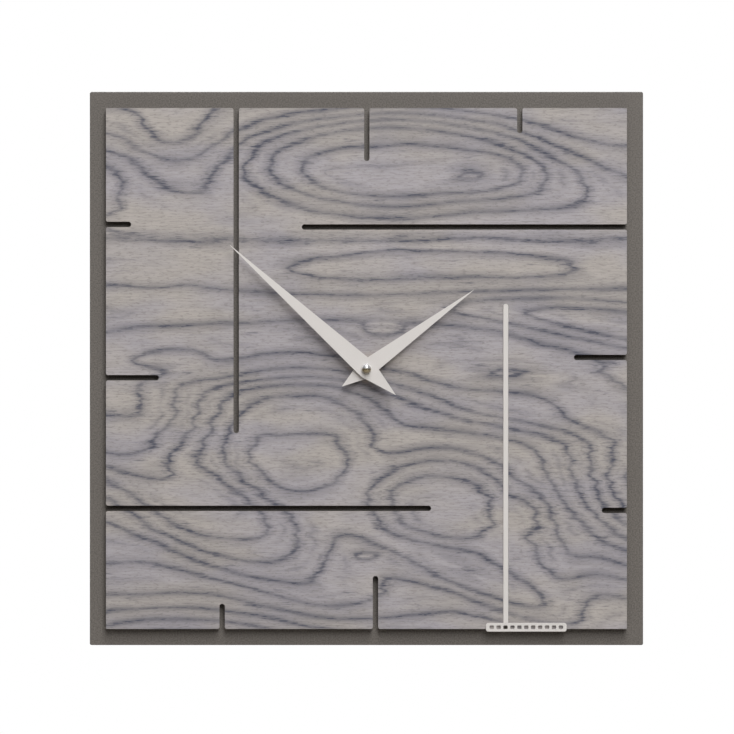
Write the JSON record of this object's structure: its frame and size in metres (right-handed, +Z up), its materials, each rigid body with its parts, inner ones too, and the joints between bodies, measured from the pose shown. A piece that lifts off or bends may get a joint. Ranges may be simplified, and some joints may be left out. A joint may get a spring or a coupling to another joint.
{
  "type": "wall clock",
  "caption": "Square wall clock: a veneered plate with slot hour marks on a larger dark plate, two kite-shaped hands, quartz movement and keyhole hanger behind.",
  "frame": {"origin": "where the hands' axis meets the wall, in the plane of the felt ring's rear face", "axes": "+Y into the wall, +Z up, +X to the right as the dial is read; the dial faces -Y"},
  "size_m": [0.3, 0.0458, 0.3],
  "materials": {
    "back_paint": "dark warm grey fine textured paint over fibreboard",
    "core_board": "bare brown edge of medium density fibreboard",
    "veneer": "grey stained veneer with dark contour figure, matt",
    "light_paint": "light warm grey lacquer, satin",
    "frame_wood": "plain light wood, sanded",
    "felt": "black felt",
    "zinc_steel": "zinc plated sheet",
    "rubber": "black rubber",
    "case_plastic": "black moulded plastic, fine grain",
    "brass": "turned brass",
    "hand_paint": "light warm grey paint on sheet aluminium",
    "nickel": "polished nickel plate",
    "arbor_brass": "turned brass",
    "spring_steel": "spring steel",
    "gear_plastic": "white acetal",
    "knob_plastic": "black moulded plastic",
    "magnet": "sintered magnet, dark grey",
    "silicon_steel": "annealed sheet",
    "bobbin_plastic": "red moulded plastic",
    "copper": "enamelled copper wire",
    "board": "green solder mask on fibreglass board",
    "chip_resin": "black resin drop",
    "tin_can": "tinned can",
    "contact_metal": "nickel plated strip",
    "battery_steel": "nickel plated steel",
    "battery_film": "plain shrink film in two colours, no print",
    "battery_plastic": "black nylon seal"
  },
  "bodies": {
    "clock": {"back_panel": "back_paint", "front_core": "core_board", "front_veneer": "veneer", "marker_strip": "light_paint", "foot_rail": "light_paint", "wall_rail_top": "frame_wood", "wall_rail_bottom": "frame_wood", "wall_rail_left": "frame_wood", "wall_rail_right": "frame_wood", "felt_ring": "felt", "hanger_plate": "zinc_steel", "rubber_washer": "rubber", "movement_case": "case_plastic", "movement_cover": "case_plastic", "mount_washer": "brass", "mount_nut": "brass", "stator": "silicon_steel", "coil_core": "silicon_steel", "coil_bobbin": "bobbin_plastic", "coil_winding": "copper", "circuit_board": "board", "chip_blob": "chip_resin", "crystal_can": "tin_can", "contact_positive": "contact_metal", "contact_negative": "contact_metal"},
    "hour_hand_set": {"hour_wheel": "gear_plastic", "hour_collet": "brass", "hour_hand": "hand_paint"},
    "minute_hand_set": {"minute_arbor": "arbor_brass", "clutch_spring": "spring_steel", "minute_hand": "hand_paint", "ball_nut": "nickel"},
    "motion_set": {"motion_wheel": "gear_plastic"},
    "setting_set": {"setting_arbor": "gear_plastic", "setting_knob": "knob_plastic"},
    "rotor_set": {"rotor_pinion": "gear_plastic", "rotor_magnet": "magnet"},
    "intermediate_set": {"intermediate_wheel": "gear_plastic"},
    "seconds_set": {"seconds_wheel": "gear_plastic"},
    "third_set": {"third_wheel": "gear_plastic"},
    "centre_set": {"centre_wheel": "gear_plastic"},
    "battery": {"battery_can": "battery_steel", "battery_base": "battery_steel", "battery_nub": "battery_steel", "battery_wrap": "battery_film", "battery_seal": "battery_plastic"}
  },
  "joints": [
    {"name": "minute_hand_turn", "type": "hinge", "parent": "clock", "child": "minute_hand_set", "pos_m": [0, -0.0415, 0], "axis": [0, 1, 0], "continuous": true},
    {"name": "hour_hand_turn", "type": "hinge", "parent": "clock", "child": "hour_hand_set", "pos_m": [0, -0.0393, 0], "axis": [0, 1, 0], "continuous": true},
    {"name": "motion_wheel_turn", "type": "hinge", "parent": "clock", "child": "motion_set", "pos_m": [-0.00727, -0.013, 0.0042], "axis": [0, 1, 0], "continuous": true},
    {"name": "setting_knob_turn", "type": "hinge", "parent": "clock", "child": "setting_set", "pos_m": [-0.01567, -0.0035, 0.0042], "axis": [0, 1, 0], "continuous": true},
    {"name": "rotor_turn", "type": "hinge", "parent": "clock", "child": "rotor_set", "pos_m": [0.00631, -0.011, 0.01456], "axis": [0, 1, 0], "continuous": true},
    {"name": "intermediate_wheel_turn", "type": "hinge", "parent": "clock", "child": "intermediate_set", "pos_m": [0.0045, -0.009, 0.00779], "axis": [0, 1, 0], "continuous": true},
    {"name": "seconds_wheel_turn", "type": "hinge", "parent": "clock", "child": "seconds_set", "pos_m": [0, -0.0067, 0], "axis": [0, 1, 0], "continuous": true},
    {"name": "third_wheel_turn", "type": "hinge", "parent": "clock", "child": "third_set", "pos_m": [0.0085, -0.008, 0], "axis": [0, 1, 0], "continuous": true},
    {"name": "centre_wheel_turn", "type": "hinge", "parent": "clock", "child": "centre_set", "pos_m": [0, -0.0105, 0], "axis": [0, 1, 0], "continuous": true},
    {"name": "battery_removal", "type": "slide", "parent": "clock", "child": "battery", "axis": [0, 1, 0], "range_m": [0, 0.03]}
  ],
  "couplings": [
    {"joint": "hour_hand_turn", "follows": "minute_hand_turn", "ratio": 0.083333},
    {"joint": "motion_wheel_turn", "follows": "minute_hand_turn", "ratio": -0.33333},
    {"joint": "setting_knob_turn", "follows": "minute_hand_turn", "ratio": 1},
    {"joint": "intermediate_wheel_turn", "follows": "rotor_turn", "ratio": -0.16667},
    {"joint": "seconds_wheel_turn", "follows": "rotor_turn", "ratio": 0.033333},
    {"joint": "third_wheel_turn", "follows": "rotor_turn", "ratio": -0.0044444},
    {"joint": "centre_wheel_turn", "follows": "rotor_turn", "ratio": 0.00055556}
  ]
}
